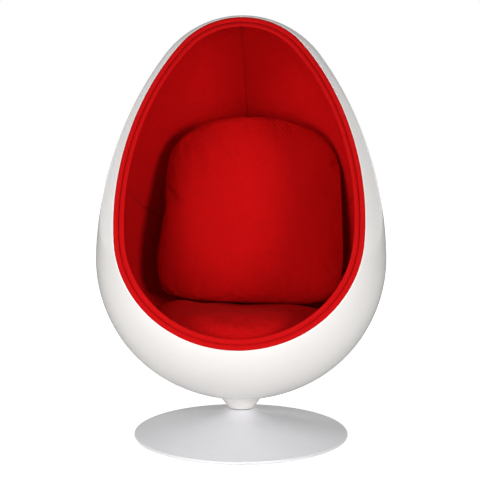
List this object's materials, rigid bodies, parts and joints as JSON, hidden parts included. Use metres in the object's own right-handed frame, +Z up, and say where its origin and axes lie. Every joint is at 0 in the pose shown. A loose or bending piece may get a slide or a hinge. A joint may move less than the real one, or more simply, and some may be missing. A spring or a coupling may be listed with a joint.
{
  "type": "pod chair",
  "caption": "Egg-shaped lounge chair: a leaning white shell with a red padded interior and loose cushions, turning freely on a low cone base.",
  "frame": {"origin": "on the floor, under the swivel column's axis, in the middle of the base's underside", "axes": "+Z up along the swivel axis, the opening faces -Y, +X to the sitter's left hand and to the right in a front view"},
  "size_m": [0.8696, 0.8353, 1.2834],
  "materials": {
    "shell": "white gel-coated glass fibre",
    "base": "satin light grey enamel",
    "steel": "black primer",
    "ballast": "as cast, painted",
    "fastener": "zinc plated",
    "bearing": "ground and hardened",
    "brass": "machined",
    "bush": "natural acetal",
    "glide": "moulded black rubber",
    "plywood": "bare birch plywood",
    "foam": "open-cell polyurethane foam",
    "lining": "red wool upholstery felt",
    "edging": "red wool upholstery felt over foam",
    "cushion": "red wool upholstery fabric"
  },
  "bodies": {
    "base": {"glide_ring": "glide", "floor_plate": "steel", "access_cap": "glide", "base_cone": "base", "ballast_ring": "ballast", "ballast_screws": "fastener", "column": "steel", "column_screws": "fastener", "lower_bush": "bush", "upper_bush": "bush", "lower_race": "bearing", "ball_cage": "brass", "bearing_balls": "bearing"},
    "seat": {"upper_race": "bearing", "spindle": "steel", "spindle_washer": "bearing", "spindle_circlip": "fastener", "swivel_plate": "steel", "mounting_pad": "plywood", "threaded_inserts": "brass", "mounting_bolts": "fastener", "mounting_washers": "fastener", "neck_collar": "shell", "outer_shell": "shell", "seat_board": "plywood", "liner_foam": "foam", "lining_upper_left": "lining", "lining_upper_right": "lining", "lining_lower_left": "lining", "lining_lower_right": "lining", "rim_welt": "edging", "rim_roll": "edging", "seat_cushion": "cushion", "back_cushion": "cushion"}
  },
  "joints": [
    {"name": "swivel", "type": "hinge", "parent": "base", "child": "seat", "pos_m": [0, 0, 0.1], "axis": [0, 0, 1], "continuous": true}
  ]
}
